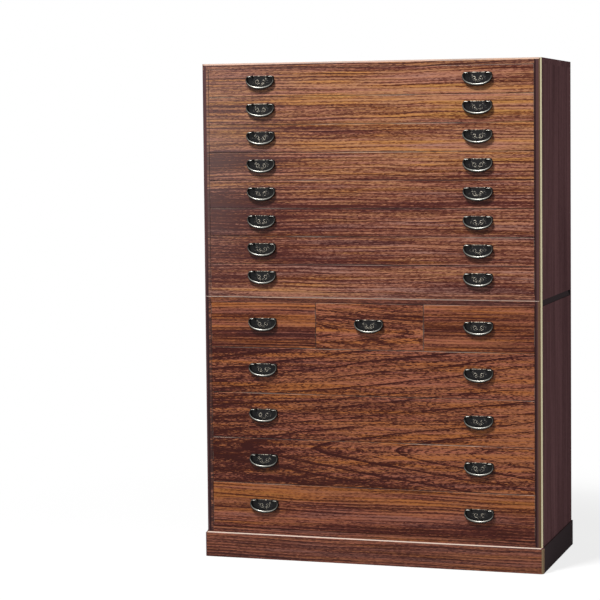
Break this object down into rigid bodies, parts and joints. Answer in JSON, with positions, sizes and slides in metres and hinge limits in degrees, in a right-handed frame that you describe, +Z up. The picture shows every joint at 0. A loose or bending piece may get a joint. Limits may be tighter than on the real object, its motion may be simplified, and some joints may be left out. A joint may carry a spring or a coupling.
{
  "type": "isho clothing chest",
  "caption": "Stacked clothing chest of stained paulownia: shallow drawers above, deep and small drawers below, on a plinth, with crescent bail handles.",
  "frame": {"origin": "on the floor, under the middle of the whole chest", "axes": "+X to the right as the drawers are faced, +Y to the back, +Z up"},
  "size_m": [1.008, 0.455, 1.443],
  "materials": {
    "case_wood": "satin",
    "plinth_wood": "satin",
    "plain_wood": "matte",
    "drawer_wood": "satin",
    "bail_metal": "satin",
    "plate_metal": "satin"
  },
  "bodies": {
    "lower_case": {"plinth_front": "plinth_wood", "plinth_left": "plinth_wood", "plinth_right": "plinth_wood", "plinth_back": "plinth_wood", "lower_left_side": "case_wood", "lower_right_side": "case_wood", "lower_top_board": "case_wood", "lower_bottom_board": "case_wood", "lower_back_panel": "plain_wood", "lower_shelf_boards": "plain_wood", "small_drawer_dividers": "plain_wood", "locating_pegs": "plain_wood"},
    "upper_case": {"upper_left_side": "case_wood", "upper_right_side": "case_wood", "upper_top_board": "case_wood", "upper_bottom_board": "case_wood", "upper_back_panel": "plain_wood", "upper_shelf_boards": "plain_wood"},
    "upper_drawer_1": {"upper_drawer_1": "drawer_wood"},
    "upper_drawer_1_bail_left": {"upper_drawer_1_bail_left": "bail_metal"},
    "upper_drawer_1_bail_right": {"upper_drawer_1_bail_right": "bail_metal"},
    "upper_drawer_2": {"upper_drawer_2": "drawer_wood"},
    "upper_drawer_2_bail_left": {"upper_drawer_2_bail_left": "bail_metal"},
    "upper_drawer_2_bail_right": {"upper_drawer_2_bail_right": "bail_metal"},
    "upper_drawer_3": {"upper_drawer_3": "drawer_wood"},
    "upper_drawer_3_bail_left": {"upper_drawer_3_bail_left": "bail_metal"},
    "upper_drawer_3_bail_right": {"upper_drawer_3_bail_right": "bail_metal"},
    "upper_drawer_4": {"upper_drawer_4": "drawer_wood"},
    "upper_drawer_4_bail_left": {"upper_drawer_4_bail_left": "bail_metal"},
    "upper_drawer_4_bail_right": {"upper_drawer_4_bail_right": "bail_metal"},
    "upper_drawer_5": {"upper_drawer_5": "drawer_wood"},
    "upper_drawer_5_bail_left": {"upper_drawer_5_bail_left": "bail_metal"},
    "upper_drawer_5_bail_right": {"upper_drawer_5_bail_right": "bail_metal"},
    "upper_drawer_6": {"upper_drawer_6": "drawer_wood"},
    "upper_drawer_6_bail_left": {"upper_drawer_6_bail_left": "bail_metal"},
    "upper_drawer_6_bail_right": {"upper_drawer_6_bail_right": "bail_metal"},
    "upper_drawer_7": {"upper_drawer_7": "drawer_wood"},
    "upper_drawer_7_bail_left": {"upper_drawer_7_bail_left": "bail_metal"},
    "upper_drawer_7_bail_right": {"upper_drawer_7_bail_right": "bail_metal"},
    "upper_drawer_8": {"upper_drawer_8": "drawer_wood"},
    "upper_drawer_8_bail_left": {"upper_drawer_8_bail_left": "bail_metal"},
    "upper_drawer_8_bail_right": {"upper_drawer_8_bail_right": "bail_metal"},
    "small_drawer_1": {"small_drawer_1": "drawer_wood"},
    "small_drawer_1_bail": {"small_drawer_1_bail": "bail_metal"},
    "small_drawer_2": {"small_drawer_2": "drawer_wood"},
    "small_drawer_2_bail": {"small_drawer_2_bail": "bail_metal"},
    "small_drawer_3": {"small_drawer_3": "drawer_wood"},
    "small_drawer_3_bail": {"small_drawer_3_bail": "bail_metal"},
    "lower_drawer_1": {"lower_drawer_1": "drawer_wood"},
    "lower_drawer_1_bail_left": {"lower_drawer_1_bail_left": "bail_metal"},
    "lower_drawer_1_bail_right": {"lower_drawer_1_bail_right": "bail_metal"},
    "lower_drawer_2": {"lower_drawer_2": "drawer_wood"},
    "lower_drawer_2_bail_left": {"lower_drawer_2_bail_left": "bail_metal"},
    "lower_drawer_2_bail_right": {"lower_drawer_2_bail_right": "bail_metal"},
    "lower_drawer_3": {"lower_drawer_3": "drawer_wood"},
    "lower_drawer_3_bail_left": {"lower_drawer_3_bail_left": "bail_metal"},
    "lower_drawer_3_bail_right": {"lower_drawer_3_bail_right": "bail_metal"},
    "lower_drawer_4": {"lower_drawer_4": "drawer_wood"},
    "lower_drawer_4_bail_left": {"lower_drawer_4_bail_left": "bail_metal"},
    "lower_drawer_4_bail_right": {"lower_drawer_4_bail_right": "bail_metal"}
  },
  "joints": [
    {"name": "upper_case_lift", "type": "slide", "parent": "lower_case", "child": "upper_case", "axis": [0, 0, 1], "range_m": [0, 0.03]},
    {"name": "upper_drawer_1_slide", "type": "slide", "parent": "upper_case", "child": "upper_drawer_1", "axis": [0, -1, 0], "range_m": [0, 0.33]},
    {"name": "upper_drawer_2_slide", "type": "slide", "parent": "upper_case", "child": "upper_drawer_2", "axis": [0, -1, 0], "range_m": [0, 0.33]},
    {"name": "upper_drawer_3_slide", "type": "slide", "parent": "upper_case", "child": "upper_drawer_3", "axis": [0, -1, 0], "range_m": [0, 0.33]},
    {"name": "upper_drawer_4_slide", "type": "slide", "parent": "upper_case", "child": "upper_drawer_4", "axis": [0, -1, 0], "range_m": [0, 0.33]},
    {"name": "upper_drawer_5_slide", "type": "slide", "parent": "upper_case", "child": "upper_drawer_5", "axis": [0, -1, 0], "range_m": [0, 0.33]},
    {"name": "upper_drawer_6_slide", "type": "slide", "parent": "upper_case", "child": "upper_drawer_6", "axis": [0, -1, 0], "range_m": [0, 0.33]},
    {"name": "upper_drawer_7_slide", "type": "slide", "parent": "upper_case", "child": "upper_drawer_7", "axis": [0, -1, 0], "range_m": [0, 0.33]},
    {"name": "upper_drawer_8_slide", "type": "slide", "parent": "upper_case", "child": "upper_drawer_8", "axis": [0, -1, 0], "range_m": [0, 0.33]},
    {"name": "small_drawer_1_slide", "type": "slide", "parent": "lower_case", "child": "small_drawer_1", "axis": [0, -1, 0], "range_m": [0, 0.33]},
    {"name": "small_drawer_2_slide", "type": "slide", "parent": "lower_case", "child": "small_drawer_2", "axis": [0, -1, 0], "range_m": [0, 0.33]},
    {"name": "small_drawer_3_slide", "type": "slide", "parent": "lower_case", "child": "small_drawer_3", "axis": [0, -1, 0], "range_m": [0, 0.33]},
    {"name": "lower_drawer_1_slide", "type": "slide", "parent": "lower_case", "child": "lower_drawer_1", "axis": [0, -1, 0], "range_m": [0, 0.33]},
    {"name": "lower_drawer_2_slide", "type": "slide", "parent": "lower_case", "child": "lower_drawer_2", "axis": [0, -1, 0], "range_m": [0, 0.33]},
    {"name": "lower_drawer_3_slide", "type": "slide", "parent": "lower_case", "child": "lower_drawer_3", "axis": [0, -1, 0], "range_m": [0, 0.33]},
    {"name": "lower_drawer_4_slide", "type": "slide", "parent": "lower_case", "child": "lower_drawer_4", "axis": [0, -1, 0], "range_m": [0, 0.33]},
    {"name": "upper_drawer_1_bail_left_swing", "type": "hinge", "parent": "upper_drawer_1", "child": "upper_drawer_1_bail_left", "pos_m": [-0.32, -0.224, 1.403], "axis": [-1, 0, 0], "range_deg": [0, 170]},
    {"name": "upper_drawer_1_bail_right_swing", "type": "hinge", "parent": "upper_drawer_1", "child": "upper_drawer_1_bail_right", "pos_m": [0.32, -0.224, 1.403], "axis": [-1, 0, 0], "range_deg": [0, 170]},
    {"name": "upper_drawer_2_bail_left_swing", "type": "hinge", "parent": "upper_drawer_2", "child": "upper_drawer_2_bail_left", "pos_m": [-0.32, -0.224, 1.3225], "axis": [-1, 0, 0], "range_deg": [0, 170]},
    {"name": "upper_drawer_2_bail_right_swing", "type": "hinge", "parent": "upper_drawer_2", "child": "upper_drawer_2_bail_right", "pos_m": [0.32, -0.224, 1.3225], "axis": [-1, 0, 0], "range_deg": [0, 170]},
    {"name": "upper_drawer_3_bail_left_swing", "type": "hinge", "parent": "upper_drawer_3", "child": "upper_drawer_3_bail_left", "pos_m": [-0.32, -0.224, 1.242], "axis": [-1, 0, 0], "range_deg": [0, 170]},
    {"name": "upper_drawer_3_bail_right_swing", "type": "hinge", "parent": "upper_drawer_3", "child": "upper_drawer_3_bail_right", "pos_m": [0.32, -0.224, 1.242], "axis": [-1, 0, 0], "range_deg": [0, 170]},
    {"name": "upper_drawer_4_bail_left_swing", "type": "hinge", "parent": "upper_drawer_4", "child": "upper_drawer_4_bail_left", "pos_m": [-0.32, -0.224, 1.1615], "axis": [-1, 0, 0], "range_deg": [0, 170]},
    {"name": "upper_drawer_4_bail_right_swing", "type": "hinge", "parent": "upper_drawer_4", "child": "upper_drawer_4_bail_right", "pos_m": [0.32, -0.224, 1.1615], "axis": [-1, 0, 0], "range_deg": [0, 170]},
    {"name": "upper_drawer_5_bail_left_swing", "type": "hinge", "parent": "upper_drawer_5", "child": "upper_drawer_5_bail_left", "pos_m": [-0.32, -0.224, 1.081], "axis": [-1, 0, 0], "range_deg": [0, 170]},
    {"name": "upper_drawer_5_bail_right_swing", "type": "hinge", "parent": "upper_drawer_5", "child": "upper_drawer_5_bail_right", "pos_m": [0.32, -0.224, 1.081], "axis": [-1, 0, 0], "range_deg": [0, 170]},
    {"name": "upper_drawer_6_bail_left_swing", "type": "hinge", "parent": "upper_drawer_6", "child": "upper_drawer_6_bail_left", "pos_m": [-0.32, -0.224, 1.0005], "axis": [-1, 0, 0], "range_deg": [0, 170]},
    {"name": "upper_drawer_6_bail_right_swing", "type": "hinge", "parent": "upper_drawer_6", "child": "upper_drawer_6_bail_right", "pos_m": [0.32, -0.224, 1.0005], "axis": [-1, 0, 0], "range_deg": [0, 170]},
    {"name": "upper_drawer_7_bail_left_swing", "type": "hinge", "parent": "upper_drawer_7", "child": "upper_drawer_7_bail_left", "pos_m": [-0.32, -0.224, 0.92], "axis": [-1, 0, 0], "range_deg": [0, 170]},
    {"name": "upper_drawer_7_bail_right_swing", "type": "hinge", "parent": "upper_drawer_7", "child": "upper_drawer_7_bail_right", "pos_m": [0.32, -0.224, 0.92], "axis": [-1, 0, 0], "range_deg": [0, 170]},
    {"name": "upper_drawer_8_bail_left_swing", "type": "hinge", "parent": "upper_drawer_8", "child": "upper_drawer_8_bail_left", "pos_m": [-0.32, -0.224, 0.8395], "axis": [-1, 0, 0], "range_deg": [0, 170]},
    {"name": "upper_drawer_8_bail_right_swing", "type": "hinge", "parent": "upper_drawer_8", "child": "upper_drawer_8_bail_right", "pos_m": [0.32, -0.224, 0.8395], "axis": [-1, 0, 0], "range_deg": [0, 170]},
    {"name": "small_drawer_1_bail_swing", "type": "hinge", "parent": "small_drawer_1", "child": "small_drawer_1_bail", "pos_m": [-0.32, -0.224, 0.70285], "axis": [-1, 0, 0], "range_deg": [0, 170]},
    {"name": "small_drawer_2_bail_swing", "type": "hinge", "parent": "small_drawer_2", "child": "small_drawer_2_bail", "pos_m": [0, -0.224, 0.70285], "axis": [-1, 0, 0], "range_deg": [0, 170]},
    {"name": "small_drawer_3_bail_swing", "type": "hinge", "parent": "small_drawer_3", "child": "small_drawer_3_bail", "pos_m": [0.32, -0.224, 0.70285], "axis": [-1, 0, 0], "range_deg": [0, 170]},
    {"name": "lower_drawer_1_bail_left_swing", "type": "hinge", "parent": "lower_drawer_1", "child": "lower_drawer_1_bail_left", "pos_m": [-0.32, -0.224, 0.57005], "axis": [-1, 0, 0], "range_deg": [0, 170]},
    {"name": "lower_drawer_1_bail_right_swing", "type": "hinge", "parent": "lower_drawer_1", "child": "lower_drawer_1_bail_right", "pos_m": [0.32, -0.224, 0.57005], "axis": [-1, 0, 0], "range_deg": [0, 170]},
    {"name": "lower_drawer_2_bail_left_swing", "type": "hinge", "parent": "lower_drawer_2", "child": "lower_drawer_2_bail_left", "pos_m": [-0.32, -0.224, 0.43725], "axis": [-1, 0, 0], "range_deg": [0, 170]},
    {"name": "lower_drawer_2_bail_right_swing", "type": "hinge", "parent": "lower_drawer_2", "child": "lower_drawer_2_bail_right", "pos_m": [0.32, -0.224, 0.43725], "axis": [-1, 0, 0], "range_deg": [0, 170]},
    {"name": "lower_drawer_3_bail_left_swing", "type": "hinge", "parent": "lower_drawer_3", "child": "lower_drawer_3_bail_left", "pos_m": [-0.32, -0.224, 0.30445], "axis": [-1, 0, 0], "range_deg": [0, 170]},
    {"name": "lower_drawer_3_bail_right_swing", "type": "hinge", "parent": "lower_drawer_3", "child": "lower_drawer_3_bail_right", "pos_m": [0.32, -0.224, 0.30445], "axis": [-1, 0, 0], "range_deg": [0, 170]},
    {"name": "lower_drawer_4_bail_left_swing", "type": "hinge", "parent": "lower_drawer_4", "child": "lower_drawer_4_bail_left", "pos_m": [-0.32, -0.224, 0.17165], "axis": [-1, 0, 0], "range_deg": [0, 170]},
    {"name": "lower_drawer_4_bail_right_swing", "type": "hinge", "parent": "lower_drawer_4", "child": "lower_drawer_4_bail_right", "pos_m": [0.32, -0.224, 0.17165], "axis": [-1, 0, 0], "range_deg": [0, 170]}
  ]
}
